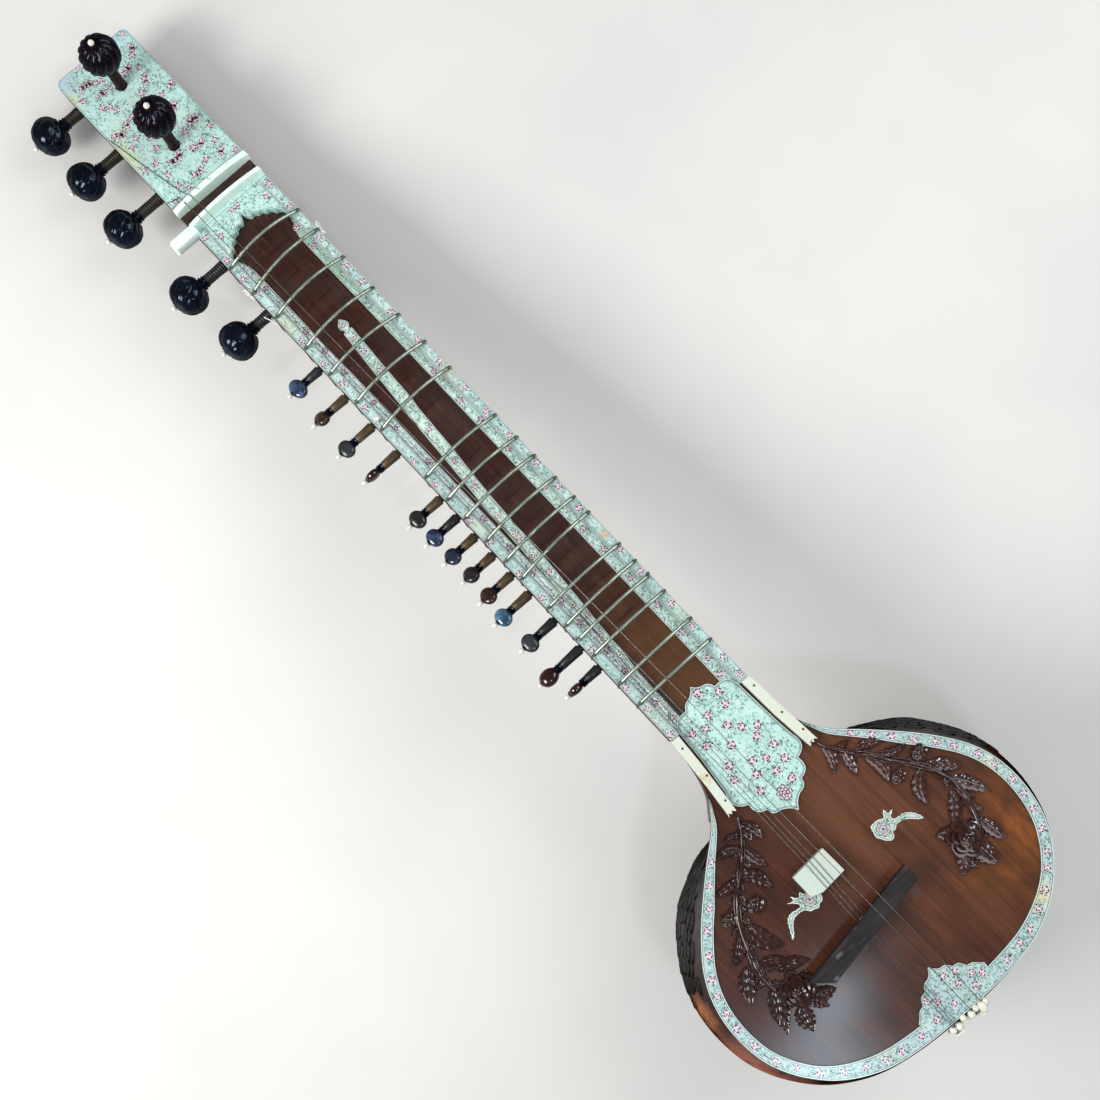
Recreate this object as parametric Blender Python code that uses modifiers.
"""Sitar: long-necked lute with a hollow channel neck, a round gourd body, raised movable
frets, seven playing-string pegs and thirteen sympathetic-string (tarab) pegs.

Everything is laid out in mm from a datum on the neck: x across the neck (player's side pegs
at -x), y into the instrument (0 at the top of the fretboard rims, front at -y) and z along
the neck towards the head.  The datum empty carries the whole instrument, so that the lowest
point of the gourd stands at world z = 0 and the box is centred on x and y.

The body has its own leaning axis.  Body outlines are (across, down): distance across that
axis, and distance down it from the end of the neck.
"""
import bpy
import bmesh
import math
from mathutils import Vector, Matrix

MM = 0.001

# ----------------------------------------------------------------- driving dimensions (mm)
DATUM = (10.06, -81.25, 544.25)     # neck datum in the world
GAP = 0.35                # clearance between seated pieces
SHEET_THICK = 1.2         # painted sheet of the binding and the cartouche

NECK_HALF = 44.5          # half width of neck, fretboard and pegbox
NECK_TOP = 687.0          # head end
NECK_END = -199.7         # lower end of the neck, where the joint piece starts
NECK_FRONT = 11.3         # front edge of the channel walls
NECK_MID = 27.0           # depth where the back starts to round
NECK_BACK = 56.0          # deepest point of the rounded back
NECK_WALL = 6.0
HEAD_WALL = 9.0           # solid end at the head
HOLLOW_MID = 26.0         # depth where the hollow starts to round

RIM_WIDTH = 9.5           # raised fretboard rims
FLOOR_Y = 7.0             # trough floor below the rim tops
FRETBOARD_BACK = 11.0     # underside of the fretboard
RIM_TOP_Z = 463.5         # the rims stop below the nut
FLOOR_TOP_Z = 500.2

NUT_Z, NUT_THICK = 468.5, 4.6
GUIDE_Z, GUIDE_THICK = 493.5, 6.5
GUIDE_HALF = 46.0

COVER_Z = 501.0           # lower end of the pegbox cover
COVER_FRONT = 0.8
COVER_CORNER = 5.0        # radius of its two head corners

FRET_RADIUS = 1.75
FRET_RISE = 11.0          # bow of the fret above its ends
FRET_HALF = 42.5
FRET_GAP = 0.32           # between fret ends and rims
# z, and tilt in degrees (positive lifts the +x end towards the head)
FRETS = [(411.5, 0.0), (380.0, 4.1), (343.5, 1.0), (300.5, 1.0), (264.3, -0.5),
         (226.6, 0.4), (190.9, 1.0), (127.9, 0.0), (98.5, 0.0), (74.4, 0.0),
         (45.7, 0.4), (20.3, 0.8), (-0.4, 2.4), (-38.5, -0.5), (-60.1, 0.4),
         (-77.7, 0.0), (-97.1, -0.6), (-131.0, -0.3), (-156.0, -0.8)]

PEG_Y = 28.0              # depth of the side pegs' axes
# z, ball centre out from the neck
SIDE_PEGS = [(665.5, 38.5), (601.0, 42.7), (535.0, 48.0), (434.5, 44.7), (364.5, 39.0)]
# x, z
FRONT_PEGS = [(2.3, 638.2), (-0.6, 550.9)]
# z, button centre out from the neck
TARAB_PEGS = [(287.0, 28.5), (248.3, 31.0), (209.2, 33.5), (172.6, 32.0), (111.3, 29.5),
              (87.2, 29.5), (62.3, 29.0), (37.7, 28.0), (12.2, 29.5), (-12.1, 33.0),
              (-46.3, 31.0), (-81.2, 39.0), (-105.7, 29.0)]
BALL_RADIUS = 19.3
SIDE_BALL_HALF = 15.6     # half length of a side peg's ball along its axis
FRONT_BALL_HALF = 18.2
FRONT_BALL_OUT = 52.5     # ball centre out from the cover
SHAFT_RADIUS = 5.5
TIP_RADIUS = 4.4          # far end of a main peg's shaft
TARAB_RADIUS = 3.6
BUTTON_RADIUS = 8.6
HOLE_GAP = 0.75           # hole corner radius over shaft corner radius
HOLE_NEAR, HOLE_FAR = 25.0, 60.0    # side hole cutters span these distances from x = 0
MAIN_SIDES, TARAB_SIDES = 14, 10    # facets round main pegs and tarab pegs, and their holes

LEAN = math.radians(3.1)  # the body axis leans towards -x on its way down
BODY_X, BODY_Z = 1.3, -200.0        # where the body axis starts
# half outline of the soundboard: half width, distance down the body axis
OUTLINE = [(44.6, 0.3), (45.2, 15), (46.4, 30), (48.8, 45), (53.0, 58), (59.5, 68), (68.5, 80),
           (90.5, 99), (110.5, 117.5), (127, 134), (139, 148), (150, 163), (158, 179),
           (163, 197), (164.5, 215), (163, 233.5), (158.5, 251.5), (150, 268.5), (138, 284.5),
           (121.5, 300), (101.5, 312), (78.5, 320.5), (50, 325), (20, 326.8), (0, 327)]
BOARD_Y = 7.0             # front of the soundboard at its edge
BOARD_THICK = 3.4
DOME_RISE = 4.0           # belly of the soundboard
DOME_HALF, DOME_REACH = 150.0, 98.0     # its half sizes across and down the body
DOME_CENTRE = 220.0       # its centre down the body axis

JOINT_END = 75.0          # lower end of the neck joint, down the body axis
GOURD_TOP = JOINT_END + GAP
GOURD_CENTRE = 210.0      # down the body axis
GOURD_THICK = 5.5
GOURD_BULGE = 17.0        # equator outside the rim
GOURD_RIM_Y = 10.8
GOURD_EQUATOR_Y = 82.0
GOURD_BACK_Y = 238.0

STRING_RADIUS = 0.32
STRING_Y = -15.6          # playing strings between nut and main bridge
ANCHOR_Y, ANCHOR_Z = 6.9, -533.0    # rods that join the strings' lower ends
ANCHOR_RADIUS = 0.8

OUT_LEFT = (0, -math.pi / 2, 0)     # local +z points out of the neck's peg side
OUT_FRONT = (math.pi / 2, 0, 0)     # local +z points out of the face

# ------------------------------------------------------------------------------ scene set-up
for old in list(bpy.data.objects):
    bpy.data.objects.remove(old, do_unlink=True)
PARTS = bpy.data.collections.new("sitar")
CUTTERS = bpy.data.collections.new("cutters")
bpy.context.scene.collection.children.link(PARTS)
bpy.context.scene.collection.children.link(CUTTERS)

datum = bpy.data.objects.new("datum", None)
PARTS.objects.link(datum)
datum.location = [c * MM for c in DATUM]
body_axis = bpy.data.objects.new("body_axis", None)     # local -z runs down the leaning body
PARTS.objects.link(body_axis)
body_axis.parent = datum
body_axis.location = (BODY_X * MM, 0, BODY_Z * MM)
body_axis.rotation_euler = (0, LEAN, 0)


# --------------------------------------------------------------------------------- materials
def material(name, rgb, roughness, metallic=0.0):
    made = bpy.data.materials.new(name)
    made.use_nodes = True
    inputs = made.node_tree.nodes["Principled BSDF"].inputs
    inputs["Base Color"].default_value = (*rgb, 1)
    inputs["Roughness"].default_value = roughness
    inputs["Metallic"].default_value = metallic
    return made


GOURD = material("gourd_lacquer", rgb=(0.03, 0.014, 0.01), roughness=0.22)
NECK_WOOD = material("neck_wood", rgb=(0.12, 0.05, 0.03), roughness=0.35)
JOINT_WOOD = material("joint_wood", rgb=(0.06, 0.03, 0.02), roughness=0.3)
BOARD_WOOD = material("soundboard_wood", rgb=(0.20, 0.09, 0.05), roughness=0.4)
FRETBOARD_WOOD = material("fretboard_wood", rgb=(0.18, 0.08, 0.045), roughness=0.45)
SHEET = material("painted_sheet", rgb=(0.62, 0.86, 0.80), roughness=0.35)
BONE = material("bone", rgb=(0.86, 0.90, 0.74), roughness=0.4)
BRASS = material("fret_brass", rgb=(0.45, 0.50, 0.40), roughness=0.3, metallic=1.0)
PEG_BLACK = material("peg_black", rgb=(0.02, 0.02, 0.03), roughness=0.18)
PEG_PURPLE = material("peg_purple", rgb=(0.05, 0.025, 0.04), roughness=0.2)
BUTTON_LACQUER = material("button_lacquer", rgb=(0.08, 0.07, 0.08), roughness=0.25)
BRIDGE_WOOD = material("bridge_wood", rgb=(0.06, 0.05, 0.05), roughness=0.6)
STEEL = material("string_steel", rgb=(0.6, 0.6, 0.58), roughness=0.25, metallic=1.0)
CARVED_WOOD = material("carved_wood", rgb=(0.09, 0.045, 0.035), roughness=0.28)


# --------------------------------------------------------------------------- object helpers
def add(name, data, mat, parent=datum, place=(0, 0, 0), turn=(0, 0, 0)):
    data.materials.append(mat)
    piece = bpy.data.objects.new(name, data)
    PARTS.objects.link(piece)
    piece.parent = parent
    piece.location = [c * MM for c in place]
    piece.rotation_euler = turn
    return piece


def add_cutter(name, data):
    cutter = bpy.data.objects.new(name, data)
    CUTTERS.objects.link(cutter)
    cutter.hide_render = True
    cutter.display_type = "WIRE"
    cutter.parent = datum
    return cutter


def combine(piece, cutter, operation="DIFFERENCE"):
    boolean = piece.modifiers.new("cut", "BOOLEAN")
    boolean.operation = operation
    boolean.object = cutter
    boolean.solver = "EXACT"


# ----------------------------------------------------------------------------- mesh helpers
def mesh_of(form, name):
    bmesh.ops.recalc_face_normals(form, faces=form.faces)
    mesh = bpy.data.meshes.new(name)
    form.to_mesh(mesh)
    form.free()
    return mesh


def soften(mesh, degrees):
    mesh.shade_smooth()
    mesh.set_sharp_from_angle(angle=math.radians(degrees))


def prism(name, outline, axis, start, end):
    """Flat outline pushed along "y" (points are x, z) or along "z" (points are x, y)."""
    form = bmesh.new()
    points = [(a, start, b) if axis == "y" else (a, b, start) for a, b in outline]
    face = form.faces.new([form.verts.new([c * MM for c in point]) for point in points])
    extruded = bmesh.ops.extrude_face_region(form, geom=[face])["geom"]
    push = Vector((0, 1, 0) if axis == "y" else (0, 0, 1)) * ((end - start) * MM)
    moved = [item for item in extruded if isinstance(item, bmesh.types.BMVert)]
    bmesh.ops.translate(form, vec=push, verts=moved)
    return mesh_of(form, name)


def box_into(form, low, high):
    middle = [(a + b) / 2 * MM for a, b in zip(low, high)]
    size = [(b - a) * MM for a, b in zip(low, high)]
    matrix = Matrix.Translation(middle) @ Matrix.Diagonal((*size, 1))
    bmesh.ops.create_cube(form, size=1.0, matrix=matrix)


def rod_into(form, start, end, radius, sides):
    start, end = Vector(start) * MM, Vector(end) * MM
    aim = (end - start).to_track_quat("Z", "Y").to_matrix().to_4x4()
    bmesh.ops.create_cone(form, cap_ends=True, segments=sides, radius1=radius * MM,
                          radius2=radius * MM, depth=(end - start).length,
                          matrix=Matrix.Translation((start + end) / 2) @ aim)


def stitch(form, rings):
    """Quads between neighbouring closed rings."""
    for ring, following in zip(rings, rings[1:]):
        for i in range(len(ring)):
            j = (i + 1) % len(ring)
            form.faces.new((ring[i], ring[j], following[j], following[i]))


def fan(form, ring, tip):
    for i in range(len(ring)):
        form.faces.new((ring[i], ring[(i + 1) % len(ring)], tip))


def capped_tube(form, rings):
    stitch(form, rings)
    form.faces.new(rings[0][::-1])
    form.faces.new(rings[-1])


def direction(points, i):
    """Unit direction of a line of points at point i."""
    after = Vector(points[min(i + 1, len(points) - 1)])
    return (after - Vector(points[max(i - 1, 0)])).normalized()


def channel(half, front, middle, back, segments=12):
    """Outer line of a U section, open at the front: points (x, y)."""
    points = [(half, front)]
    for i in range(segments + 1):
        angle = math.pi * i / segments
        points.append((half * math.cos(angle),
                       middle + (back - middle) * math.sin(angle) ** 0.85))
    points.append((-half, front))
    return points


def turned(name, profile, steps, mat, place, turn):
    """Lathed piece; profile is (radius, distance out), from the outer tip to the inner."""
    form = bmesh.new()
    verts = [form.verts.new((radius * MM, 0, out * MM)) for radius, out in profile]
    for pair in zip(verts, verts[1:]):
        form.edges.new(pair)
    mesh = bpy.data.meshes.new(name)
    form.to_mesh(mesh)
    form.free()
    screw = add(name, mesh, mat, datum, place, turn).modifiers.new("turn", "SCREW")
    screw.axis = "Z"
    screw.steps = steps
    screw.render_steps = steps
    screw.use_merge_vertices = True
    screw.merge_threshold = 0.05 * MM
    screw.use_smooth_shade = True
    screw.use_normal_calculate = True


# --------------------------------------------------------------------------- body geometry
def half_width(down):
    """Half width of the soundboard at a distance down the body axis."""
    for (width0, down0), (width1, down1) in zip(OUTLINE, OUTLINE[1:]):
        if down0 <= down <= down1:
            return width0 + (width1 - width0) * (down - down0) / (down1 - down0)


def to_body(x, z):
    """Datum (x, z) to body (across, down)."""
    x, z = x - BODY_X, z - BODY_Z
    return x * math.cos(LEAN) - z * math.sin(LEAN), -x * math.sin(LEAN) - z * math.cos(LEAN)


def board_y(across, down):
    """Front surface of the soundboard, from body coordinates."""
    spread = (across / DOME_HALF) ** 2 + ((down - DOME_CENTRE) / DOME_REACH) ** 2
    return BOARD_Y - DOME_RISE * max(0.0, 1 - spread) ** 1.5


def board_y_at(x, z):
    """Front surface of the soundboard, from datum coordinates."""
    return board_y(*to_body(x, z))


def mirrored(half_outline):
    """Half outline carried on round the -x side; its last point lies on the middle line."""
    return half_outline + [(-across, down) for across, down in reversed(half_outline[:-1])]


def square_to_body(mesh):
    """Cut the lower end square to the leaning body, to meet the joint along its whole width."""
    for vert in mesh.vertices:
        if vert.co.z < (NECK_END + 1) * MM:
            vert.co.z -= vert.co.x * math.tan(LEAN)


# ------------------------------------------------------------------------------------- gourd
GOURD_SIDES = 40                     # points round each ring
RIM_LEVELS = (-1.0, -0.65, -0.3)     # rings from the rim towards the equator
BACK_STEPS = 7                       # rings from the equator to the back
SHOULDER_DIP = 10.0                  # draws the equator in beside the joint
TOP_LIFT = 6.0                       # and lets it out again at the joint itself


def rim_radius(angle):
    """Distance from gourd centre to rim, at an angle from straight down the body axis.

    The rim is the soundboard outline below the joint, closed by a straight top edge.
    """
    across, down = math.sin(angle), math.cos(angle)
    if down < -1e-9:
        reach = (GOURD_TOP - GOURD_CENTRE) / down
        if abs(reach * across) <= half_width(GOURD_TOP):
            return reach
    across = abs(across)
    reaches = []
    for (width0, down0), (width1, down1) in zip(OUTLINE, OUTLINE[1:]):
        down0, down1 = down0 - GOURD_CENTRE, down1 - GOURD_CENTRE
        slant = across * (down1 - down0) - down * (width1 - width0)
        if abs(slant) < 1e-12:       # ray parallel to this edge
            continue
        reach = (width0 * (down1 - down0) - down0 * (width1 - width0)) / slant
        along = (width0 * down - down0 * across) / slant
        if reach > 0 and -1e-6 <= along <= 1 + 1e-6:
            reaches.append(reach)
    return max(reaches)


def ease(t):
    t = max(0.0, min(1.0, t))
    return t * t * (3 - 2 * t)


def gourd_point(angle, level, depth):
    """level: -1 rim, 0 equator, 1 back pole; depth is the distance below the skin."""
    rim = rim_radius(angle)
    upward = max(0.0, -math.cos(angle))                  # 1 straight towards the neck
    # full bulge round the lower body, easing in to the joint's section at the top corners
    equator = (rim + GOURD_BULGE * (1 - ease((upward - 0.5) / 0.4))
               - SHOULDER_DIP * ease((upward - 0.75) / 0.15)
               + TOP_LIFT * ease((upward - 0.9) / 0.1))
    if level < 0:
        rise = 1 + level
        radius = rim + (equator - rim) * math.sin(rise * math.pi / 2) ** 0.9 - depth
        y = GOURD_RIM_Y + (GOURD_EQUATOR_Y - GOURD_RIM_Y) * rise
    else:
        turn = level * math.pi / 2
        radius = (equator - depth) * math.cos(turn) ** (0.92 + 0.5 * upward ** 3)
        y = GOURD_EQUATOR_Y + (GOURD_BACK_Y - depth - GOURD_EQUATOR_Y) * math.sin(turn)
    # the top is held flat, to butt against the joint piece
    down = max(GOURD_CENTRE + radius * math.cos(angle), GOURD_TOP + depth)
    return Vector((radius * math.sin(angle), y, -down)) * MM


def gourd_angles():
    """Even angles, with the nearest ones moved exactly onto the two top corners."""
    angles = [2 * math.pi * i / GOURD_SIDES for i in range(GOURD_SIDES)]
    corner_turn = math.atan2(half_width(GOURD_TOP), GOURD_CENTRE - JOINT_END - GAP)
    for corner in (math.pi - corner_turn, math.pi + corner_turn):
        nearest = min(range(GOURD_SIDES), key=lambda i: abs(angles[i] - corner))
        angles[nearest] = corner
    return angles


def build_gourd():
    angles = gourd_angles()
    levels = [*RIM_LEVELS, *(k / BACK_STEPS for k in range(BACK_STEPS))]
    form = bmesh.new()
    rims = []
    for depth in (0.0, GOURD_THICK):                     # outer skin, inner skin
        rings = [[form.verts.new(gourd_point(angle, level, depth)) for angle in angles]
                 for level in levels]
        stitch(form, rings)
        fan(form, rings[-1], form.verts.new(gourd_point(0.0, 1.0, depth)))
        rims.append(rings[0])
    outer, inner = rims
    for i in range(GOURD_SIDES):                         # flat rim under the soundboard
        j = (i + 1) % GOURD_SIDES
        form.faces.new((outer[i], inner[i], inner[j], outer[j]))
    mesh = mesh_of(form, "gourd")
    soften(mesh, 50)
    add("gourd", mesh, GOURD, body_axis)


# -------------------------------------------------------------------------------------- neck
def build_neck():
    mesh = prism("neck", channel(NECK_HALF, NECK_FRONT, NECK_MID, NECK_BACK),
                 "z", NECK_END, NECK_TOP)
    square_to_body(mesh)
    soften(mesh, 30)
    neck = add("neck", mesh, NECK_WOOD)

    # the hollow runs out through the front and the lower end
    section = channel(NECK_HALF - NECK_WALL, NECK_FRONT - 5, HOLLOW_MID, NECK_BACK - NECK_WALL)
    combine(neck, add_cutter("neck_hollow", prism("neck_hollow", section, "z",
                                                  NECK_END - 5, NECK_TOP - HEAD_WALL)))
    form = bmesh.new()
    for z, _ in SIDE_PEGS:                               # through both walls
        rod_into(form, (-HOLE_FAR, PEG_Y, z), (-HOLE_NEAR, PEG_Y, z),
                 SHAFT_RADIUS + HOLE_GAP, MAIN_SIDES)
        rod_into(form, (HOLE_NEAR, PEG_Y, z), (HOLE_FAR, PEG_Y, z),
                 TIP_RADIUS + HOLE_GAP, MAIN_SIDES)
    for z, _ in TARAB_PEGS:                              # through the peg-side wall only
        rod_into(form, (-HOLE_FAR, PEG_Y, z), (-HOLE_NEAR, PEG_Y, z),
                 TARAB_RADIUS + HOLE_GAP, TARAB_SIDES)
    for x, z in FRONT_PEGS:                              # through the rounded back
        rod_into(form, (x, 40, z), (x, 70, z), TIP_RADIUS + HOLE_GAP, MAIN_SIDES)
    combine(neck, add_cutter("peg_holes", mesh_of(form, "peg_holes")))


# -------------------------------------------------------------------------------- neck joint
JOINT_WALL = 7.0
JOINT_SIDE_INSET = 0.2               # inside the soundboard's edge
JOINT_MID_GROWTH = 10.0              # how much deeper the rounding starts at the lower end
JOINT_BACK_GROWTH = 30.0             # how much deeper the back is there
JOINT_STATIONS = (0.35, 12, 25, 38, 50, 60, 68, JOINT_END)     # down the body axis


def build_joint():
    """U sections lofted down the body axis, walls of even thickness, open at the front."""
    form = bmesh.new()
    rows = []
    for down in JOINT_STATIONS:
        half = half_width(down) - JOINT_SIDE_INSET
        grow = down / JOINT_END
        middle = NECK_MID + JOINT_MID_GROWTH * grow
        back = NECK_BACK + JOINT_BACK_GROWTH * grow ** 1.6
        section = channel(half, GOURD_RIM_Y, middle, back, 14)
        section += channel(half - JOINT_WALL, GOURD_RIM_Y, middle, back - JOINT_WALL, 14)[::-1]
        rows.append([form.verts.new(Vector((x, y, -down)) * MM) for x, y in section])
    stitch(form, rows)
    for row in (rows[0], rows[-1]):                      # close the U-shaped ends
        for i in range(len(row) // 2 - 1):
            form.faces.new((row[i], row[i + 1], row[-2 - i], row[-1 - i]))
    mesh = mesh_of(form, "neck_joint")
    soften(mesh, 35)
    add("neck_joint", mesh, JOINT_WOOD, body_axis)


# -------------------------------------------------------------------------------- soundboard
BOARD_SCALES = (1.0, 0.9, 0.75, 0.55, 0.3)               # rings from the edge to the centre


def build_soundboard():
    form = bmesh.new()
    edges = []
    for sink in (0.0, BOARD_THICK):                      # front face, rear face
        rings = []
        for scale in BOARD_SCALES:
            ring = []
            for across, down in mirrored(OUTLINE):
                across, down = across * scale, DOME_CENTRE + (down - DOME_CENTRE) * scale
                point = Vector((across, board_y(across, down) + sink, -down))
                ring.append(form.verts.new(point * MM))
            rings.append(ring)
        tip = Vector((0, board_y(0, DOME_CENTRE) + sink, -DOME_CENTRE)) * MM
        stitch(form, rings)
        fan(form, rings[-1], form.verts.new(tip))
        edges.append(rings[0])
    front, rear = edges
    for i in range(len(front)):
        j = (i + 1) % len(front)
        form.faces.new((front[i], rear[i], rear[j], front[j]))
    mesh = mesh_of(form, "soundboard")
    soften(mesh, 40)
    add("soundboard", mesh, BOARD_WOOD, body_axis)


# ----------------------------------------------------------------------------------- binding
BINDING_START = 58.0                 # down the body axis
BINDING_WIDTH = 11.0
BINDING_START_WIDTH = 1.8
BINDING_GROWTH = 36.0                # length over which it reaches full width
BINDING_FOOT_DOWN, BINDING_FOOT_WIDTH = 290.0, 4.0       # extra width towards the lower end
BINDING_FOOT_LENGTH = 37.0
BINDING_EDGE = 0.35                  # outer edge inside the soundboard's edge
FINIAL_X = -16.5
FINIAL_CLEAR = 4.0                   # band points this close to the finial are dropped
# scalloped finial: distance either side of FINIAL_X, z
FINIAL = [(37, -507.5), (30, -498.5), (22, -495), (14.5, -491.5), (12, -488), (8, -483.5),
          (0.5, -481)]
FINIAL_SKEW = 0.05                   # its -x half rises by this much per mm outwards


def inset(points, width_at):
    """Line of points moved inwards by a width that depends on the distance down the body."""
    moved = []
    for i, (across, down) in enumerate(points):
        along = direction(points, i)
        width = width_at(down)
        moved.append((across - along.y * width, down + along.x * width))
    return moved


def binding_width(down):
    grow = max(0.0, min(1.0, (down - BINDING_START) / BINDING_GROWTH))
    foot = max(0.0, (down - BINDING_FOOT_DOWN) / BINDING_FOOT_LENGTH)
    return (BINDING_START_WIDTH + (BINDING_WIDTH - BINDING_START_WIDTH) * grow
            + BINDING_FOOT_WIDTH * foot)


def build_binding():
    """Open band following the outline from one side of the joint round to the other,
    with the finial on its inner edge above the tailpiece."""
    line = mirrored([point for point in OUTLINE if point[1] >= BINDING_START])
    outer = inset(line, lambda down: BINDING_EDGE)
    inner = inset(line, binding_width)
    finial = [to_body(FINIAL_X + out, z) for out, z in FINIAL]
    finial += [to_body(FINIAL_X - out, z + FINIAL_SKEW * out) for out, z in reversed(FINIAL)]
    right_end = finial[0][0] + FINIAL_CLEAR
    left_end = finial[-1][0] - FINIAL_CLEAR
    upper = 250.0                    # above this the finial cannot touch the band
    right = [(across, down) for across, down in inner
             if across > 0 and (across > right_end or down < upper)]
    left = [(across, down) for across, down in inner
            if across < 0 and (across < left_end or down < upper)]
    loop = outer + (right + finial + left)[::-1]
    mesh = prism("binding", [(across, -down) for across, down in loop],
                 "y", BOARD_Y - GAP - SHEET_THICK, BOARD_Y - GAP)
    for vert in mesh.vertices:                           # follow the belly
        vert.co.y += (board_y(vert.co.x / MM, -vert.co.z / MM) - BOARD_Y) * MM
    add("soundboard_binding", mesh, SHEET, body_axis)


# ---------------------------------------------------------------------- fretboard and its ends
def build_fretboard():
    """Board with a raised rim along each side; the rims are cut away at the nut."""
    inner = NECK_HALF - RIM_WIDTH
    section = [(-NECK_HALF, 0), (-NECK_HALF, FRETBOARD_BACK), (NECK_HALF, FRETBOARD_BACK),
               (NECK_HALF, 0), (inner, 0), (inner, FLOOR_Y), (-inner, FLOOR_Y), (-inner, 0)]
    mesh = prism("fretboard", section, "z", NECK_END, FLOOR_TOP_Z)
    square_to_body(mesh)
    fretboard = add("fretboard", mesh, FRETBOARD_WOOD)
    seat = prism("nut_seat", [(-60, -5), (60, -5), (60, FLOOR_Y), (-60, FLOOR_Y)],
                 "z", RIM_TOP_Z, FLOOR_TOP_Z + 10)
    combine(fretboard, add_cutter("nut_seat", seat))


def build_pegbox_cover():
    """Sheet with rounded head corners and holes for the two front pegs."""
    quarter = [math.pi / 2 * k / 4 for k in range(5)]
    corner_x, corner_z = NECK_HALF - COVER_CORNER, NECK_TOP - COVER_CORNER
    corner = [(corner_x + COVER_CORNER * math.sin(angle), corner_z + COVER_CORNER * math.cos(angle))
              for angle in reversed(quarter)]
    outline = [(-NECK_HALF, COVER_Z), (NECK_HALF, COVER_Z)] + corner
    outline += [(-x, z) for x, z in reversed(corner)]
    cover = add("pegbox_cover",
                prism("pegbox_cover", outline, "y", COVER_FRONT, FRETBOARD_BACK), SHEET)
    form = bmesh.new()
    for x, z in FRONT_PEGS:
        rod_into(form, (x, -10, z), (x, 20, z), SHAFT_RADIUS + HOLE_GAP, MAIN_SIDES)
    combine(cover, add_cutter("cover_holes", mesh_of(form, "cover_holes")))


def arched_bar(name, half, ends, rise, z, thick):
    """Bone bar across the neck: crowned front edge, its ends at y = ends before the crown."""
    base = FLOOR_Y - GAP
    outline = [(half, base), (-half, base)]
    segments = 14
    for i in range(segments + 1):
        x = -half + 2 * half * i / segments
        outline.append((x, ends - rise * max(0.0, 1 - (x / NECK_HALF) ** 2)))
    return add(name, prism(name, outline, "z", z - thick / 2, z + thick / 2), BONE)


def build_nut_and_guide():
    arched_bar("string_guide", GUIDE_HALF, ends=-3.0, rise=6.0, z=GUIDE_Z, thick=GUIDE_THICK)
    nut = arched_bar("nut", NECK_HALF, ends=-7.5, rise=7.0, z=NUT_Z, thick=NUT_THICK)
    # the nut reaches out past the neck on the peg side
    form = bmesh.new()
    box_into(form, (-70.5, -7.0, NUT_Z - 4.6),
             (-NECK_HALF + 6, 6.0, NUT_Z + NUT_THICK / 2 - 0.4))
    ear = add_cutter("nut_ear", mesh_of(form, "nut_ear"))
    bevel = ear.modifiers.new("round", "BEVEL")
    bevel.width = 2.0 * MM
    bevel.segments = 2
    combine(nut, ear, "UNION")


# ------------------------------------------------------------------------------------- frets
def fret_curve():
    """Round rod bowed forwards in a parabola."""
    curve = bpy.data.curves.new("fret", "CURVE")
    curve.dimensions = "3D"
    segments = 10
    spline = curve.splines.new("POLY")
    spline.points.add(segments)
    for i in range(segments + 1):
        x = -FRET_HALF + 2 * FRET_HALF * i / segments
        y = -FRET_RADIUS - FRET_GAP - FRET_RISE * (1 - (x / FRET_HALF) ** 2)
        spline.points[i].co = (x * MM, y * MM, 0, 1)
    curve.bevel_depth = FRET_RADIUS * MM
    curve.bevel_resolution = 1
    curve.use_fill_caps = True
    return curve


def build_frets():
    for i, (z, tilt) in enumerate(FRETS):
        add("fret_%02d" % (i + 1), fret_curve(), BRASS, place=(0, 0, z),
            turn=(0, -math.radians(tilt), 0))


# -------------------------------------------------------------------------------------- pegs
def ball_profile(centre, half, wall, tip):
    """Carved ball peg: bead, oblate ball, collar rings, tapered shaft."""
    top, bottom = centre + half, centre - half
    profile = [(0, top + 5.6), (2.2, top + 4.6), (2.9, top + 2.6), (2.2, top + 0.4)]
    segments = 8
    for i in range(1, segments):
        angle = math.pi * i / segments
        profile.append((BALL_RADIUS * math.sin(angle) ** 0.8, centre + half * math.cos(angle)))
    profile += [(7.4, bottom - 0.6), (7.8, bottom - 2.0), (6.6, bottom - 3.2),
                (7.3, bottom - 4.8), (5.9, bottom - 6.2), (5.7, 2.0),
                (SHAFT_RADIUS, -wall), (TIP_RADIUS, -tip), (0, -tip)]
    return profile


def button_profile(centre):
    """Tarab peg: bead, button, collar ring, shaft."""
    return [(0, centre + 13.6), (2.0, centre + 12.8), (2.5, centre + 11.0),
            (1.8, centre + 9.2), (5.2, centre + 7.4), (BUTTON_RADIUS, centre + 3.0),
            (BUTTON_RADIUS, centre - 3.0), (5.4, centre - 7.4), (4.4, centre - 8.6),
            (5.0, centre - 10.0), (3.9, centre - 11.4),
            (TARAB_RADIUS, 0), (TARAB_RADIUS - 0.2, -20), (0, -20)]


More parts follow.
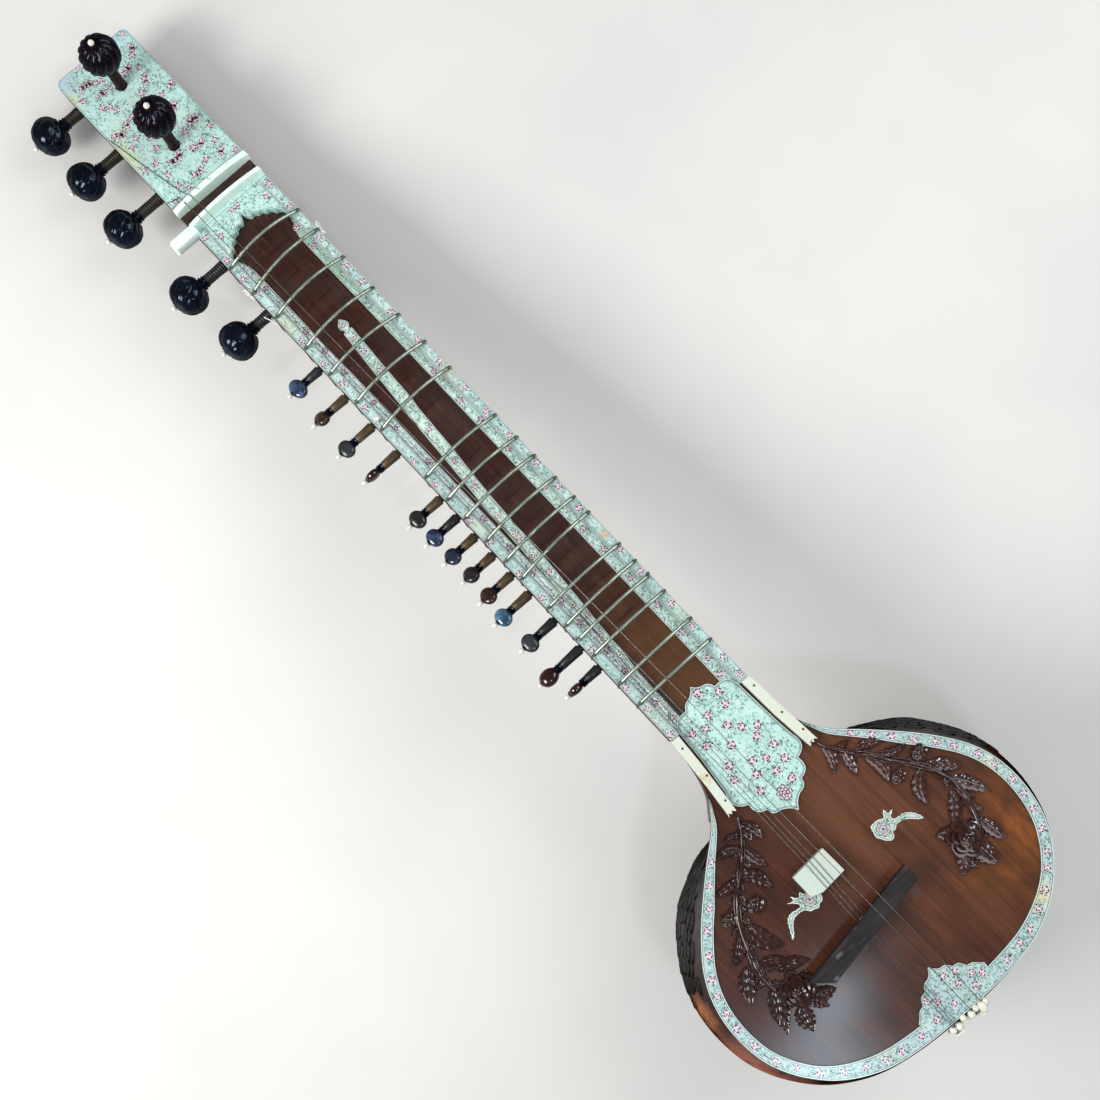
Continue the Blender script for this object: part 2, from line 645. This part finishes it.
def build_pegs():
    for i, (z, out) in enumerate(SIDE_PEGS):
        profile = ball_profile(out, SIDE_BALL_HALF, wall=8, tip=2 * NECK_HALF - 1)
        turned("side_peg_%d" % (i + 1), profile, MAIN_SIDES, PEG_BLACK,
               (-NECK_HALF, PEG_Y, z), OUT_LEFT)
    for i, (x, z) in enumerate(FRONT_PEGS):
        profile = ball_profile(FRONT_BALL_OUT, FRONT_BALL_HALF, wall=12, tip=54.0)
        turned("front_peg_%d" % (i + 1), profile, MAIN_SIDES, PEG_PURPLE,
               (x, COVER_FRONT, z), OUT_FRONT)
    for i, (z, out) in enumerate(TARAB_PEGS):
        turned("tarab_peg_%02d" % (i + 1), button_profile(out), TARAB_SIDES, BUTTON_LACQUER,
               (-NECK_HALF, PEG_Y, z), OUT_LEFT)


# ------------------------------------------------------------------- inlaid and bone plates
# outlines: x, z
CARTOUCHE = [
    (1.2, -174.5), (-2.5, -179.2), (-8.3, -181.7), (-13.3, -184), (-16.2, -187), (-20, -185.8),
    (-25, -186.7), (-30, -190), (-33, -194.5), (-34.3, -201), (-35, -214), (-35.8, -227),
    (-39, -251.7), (-40.6, -268), (-39.6, -276.7), (-35.8, -280.8), (-32.6, -282.3),
    (-32, -288.3), (-29.2, -293.3), (-24, -295.8), (-20.8, -300), (-16.7, -303.7),
    (-10, -308.3), (-3.7, -315), (0, -310), (6.7, -305), (13.3, -301.7), (17, -296.8),
    (23.3, -295.3), (26.7, -292.5), (28, -286.7), (27, -282.3), (31.7, -281.7), (36.2, -278.3),
    (38.2, -273.3), (36.6, -251.7), (35.3, -227), (34.5, -210), (34.3, -202), (33.0, -195.8),
    (30, -190.8), (25, -188), (20, -187.5), (17.5, -188.7), (15.8, -185), (11.7, -181.7),
    (6.7, -179.7), (3.3, -176.7)]
CARTOUCHE_GAP = 0.65                 # above the trough floor
PLATE_LEFT = [
    (-44.6, -198.3), (-46.2, -218), (-48.7, -248), (-52.0, -277.0), (-52.6, -279.0),
    (-50.3, -276.3), (-48.6, -278.6), (-46.9, -276.0), (-44.2, -279.2), (-43.6, -277),
    (-41.6, -260), (-38.2, -227), (-36.6, -203), (-36.3, -198.6)]
PLATE_RIGHT = [
    (36.6, -202.3), (36.9, -210), (38.0, -243), (41.2, -280), (41.9, -283.2), (44.4, -280.2),
    (46.2, -282.6), (48.0, -279.8), (50.6, -282.4), (50.3, -279), (48.0, -243), (46.4, -210),
    (45.0, -202.7)]
PLATE_FRONT = 0.4


def build_plates():
    back = FLOOR_Y - CARTOUCHE_GAP
    add("neck_cartouche", prism("cartouche", CARTOUCHE, "y", back - SHEET_THICK, back), SHEET)
    for name, outline in (("joint_plate_left", PLATE_LEFT), ("joint_plate_right", PLATE_RIGHT)):
        add(name, prism(name, outline, "y", PLATE_FRONT, FLOOR_Y - GAP), BONE)


# ---------------------------------------------------------------------- soundboard fittings
# outlines: x, z
BAR = [(-99, -418), (27.5, -404.5), (28.5, -420), (-82, -433)]
BAR_FRONT, BAR_BACK = -15.1, -6.6
FEET = [(-58, -422.5), (8, -415.5)]  # foot centres
FOOT_HALF_X, FOOT_HALF_Z = 8, 4
TARAB_BRIDGE = [(-48.2, -350.5), (-12.6, -349.8), (-11.8, -375.0), (-38.5, -375.8),
                (-48.2, -372)]
TARAB_BRIDGE_INNER = [(-30, -375), (-20, -362)]          # more places it must clear the belly
TARAB_BRIDGE_FRONT = -6.0
TAILPIECE = [(-40.5, -529.0), (-4.0, -529.6), (-4.0, -536), (-5.5, -538.5), (-8.5, -539.5),
             (-11.5, -538.0), (-12.5, -534.0), (-27.0, -533.6), (-28.5, -536.0), (-32, -537.2),
             (-36, -536.8), (-39.5, -534.5), (-41.0, -531.5)]
TAILPIECE_FRONT, TAILPIECE_BACK = 8.2, 15.0


def seat_y(points):
    """Depth at which a flat base clears the soundboard under all the points."""
    return min(board_y_at(x, z) for x, z in points) - GAP


def build_main_bridge():
    """A plain bar lying askew, carried on two low feet."""
    bridge = add("main_bridge", prism("main_bridge", BAR, "y", BAR_FRONT, BAR_BACK), BRIDGE_WOOD)
    form = bmesh.new()
    for x, z in FEET:
        low_x, high_x = x - FOOT_HALF_X, x + FOOT_HALF_X
        low_z, high_z = z - FOOT_HALF_Z, z + FOOT_HALF_Z
        base = seat_y([(a, b) for a in (low_x, high_x) for b in (low_z, high_z)])
        box_into(form, (low_x, BAR_BACK - 2, low_z), (high_x, base, high_z))
    combine(bridge, add_cutter("bridge_feet", mesh_of(form, "bridge_feet")), "UNION")


def build_tarab_bridge():
    base = seat_y(TARAB_BRIDGE + TARAB_BRIDGE_INNER)
    add("tarab_bridge",
        prism("tarab_bridge", TARAB_BRIDGE, "y", TARAB_BRIDGE_FRONT, base), BONE)


def build_tailpiece():
    add("tailpiece",
        prism("tailpiece", TAILPIECE, "y", TAILPIECE_FRONT, TAILPIECE_BACK), BONE)


# carved sprays: x, z, half width down the stem's middle line, widening to a rosette
SPRAYS = {
    "carved_spray_left": [
        (-48.5, -284, 2.5), (-54, -296, 8), (-66, -311, 11), (-82, -324, 12), (-97, -338, 12),
        (-108, -353, 12), (-116, -370, 11), (-121, -387, 9), (-123, -400, 8), (-118, -412, 15),
        (-112, -424, 17), (-109, -436, 14), (-107, -445, 7)],
    "carved_spray_right": [
        (49.5, -288, 2.5), (57, -303, 7), (66, -317, 9), (76, -329, 10), (86, -343, 11),
        (96, -358, 11), (104, -373, 10), (108, -388, 8), (107, -403, 8), (99, -414, 13),
        (90, -424, 17), (84, -436, 15), (84, -447, 8)]}
SPRAY_THICK = 4.0
SPRAY_GAP = 0.45


def build_sprays():
    """Low relief plates that follow the soundboard on both sides."""
    for name, stations in SPRAYS.items():
        form = bmesh.new()
        middle = [(x, z) for x, z, _ in stations]
        rings = []
        for i, (x, z, half) in enumerate(stations):
            along = direction(middle, i)
            side = Vector((along.y, -along.x)) * half
            ring = []
            for sign, lift in ((-1, SPRAY_THICK), (1, SPRAY_THICK), (1, 0), (-1, 0)):
                edge_x, edge_z = x + side.x * sign, z + side.y * sign
                y = board_y_at(edge_x, edge_z) - SPRAY_GAP - lift
                ring.append(form.verts.new(Vector((edge_x, y, edge_z)) * MM))
            rings.append(ring)
        capped_tube(form, rings)
        add(name, mesh_of(form, name), CARVED_WOOD)


# bone pin on the peg-side rim that guides a drone string: radius, distance out
POST = [(0, 11.6), (2.0, 11.0), (2.5, 9.6), (1.5, 8.0), (1.7, 0), (0, 0)]
POST_PLACE = (-39.0, -GAP, 198.5)


def build_chikari_post():
    turned("chikari_post", POST, 10, BONE, POST_PLACE, OUT_FRONT)


# ------------------------------------------------------------------------------------ strings
STRING_SIDES = 5
PLAYING = [(-31.6, -14.6), (-22.6, -3.4)]                # x at the nut, x at the anchor
# x and z of the upper end, x at the tarab bridge, x at the anchor
SYMPATHETIC = [(-26.0, -60, -32.6, -35.6), (-24.5, 10, -28.6, -33.0),
               (-22.0, 60, -24.0, -30.4)]


def playing_run(nut_x, tail_x):
    """String straight in x, over the nut and the main bridge down to the anchor."""
    path = [(STRING_Y, 489.5), (STRING_Y, NUT_Z), (STRING_Y, -412), (STRING_Y, -427),
            (3.9, -528.5), (ANCHOR_Y, ANCHOR_Z)]         # y, z
    return [(nut_x + (tail_x - nut_x) * (NUT_Z - z) / (NUT_Z - ANCHOR_Z), y, z)
            for y, z in path]


def sympathetic_run(top_x, top_z, bridge_x, tail_x):
    """String from the trough floor, over the tarab bridge down to the anchor."""
    return [(top_x, FLOOR_Y - 0.7, top_z), (bridge_x + (top_x - bridge_x) * 0.12, 1.0, -175),
            (bridge_x, -6.65, -352), (bridge_x - 0.6, -6.6, -372),
            (tail_x, 4.4, -529), (tail_x, ANCHOR_Y, ANCHOR_Z)]


def string_set(name, runs, anchor_start_x, anchor_end_x):
    """Strings along runs of (x, y, z) points, their lower ends joined by an anchor rod."""
    form = bmesh.new()
    for run in runs:
        points = [Vector(point) * MM for point in run]
        rings = []
        for i, centre in enumerate(points):
            along = direction(points, i)
            first = along.cross(Vector((1, 0, 0))).normalized()
            second = along.cross(first).normalized()
            angles = [2 * math.pi * k / STRING_SIDES for k in range(STRING_SIDES)]
            rings.append([form.verts.new(
                centre + (first * math.cos(angle) + second * math.sin(angle))
                * STRING_RADIUS * MM) for angle in angles])
        capped_tube(form, rings)
    strings = add(name, mesh_of(form, name), STEEL)
    form = bmesh.new()
    rod_into(form, (anchor_start_x, ANCHOR_Y, ANCHOR_Z), (anchor_end_x, ANCHOR_Y, ANCHOR_Z),
             ANCHOR_RADIUS, 8)
    anchor = name + "_anchor"
    combine(strings, add_cutter(anchor, mesh_of(form, anchor)), "UNION")


def build_strings():
    string_set("playing_strings", [playing_run(*ends) for ends in PLAYING], -16.4, -1.6)
    string_set("sympathetic_strings", [sympathetic_run(*ends) for ends in SYMPATHETIC],
               -37.2, -28.8)


build_gourd()
build_neck()
build_joint()
build_soundboard()
build_binding()
build_fretboard()
build_pegbox_cover()
build_nut_and_guide()
build_frets()
build_pegs()
build_plates()
build_main_bridge()
build_tarab_bridge()
build_tailpiece()
build_sprays()
build_chikari_post()
build_strings()
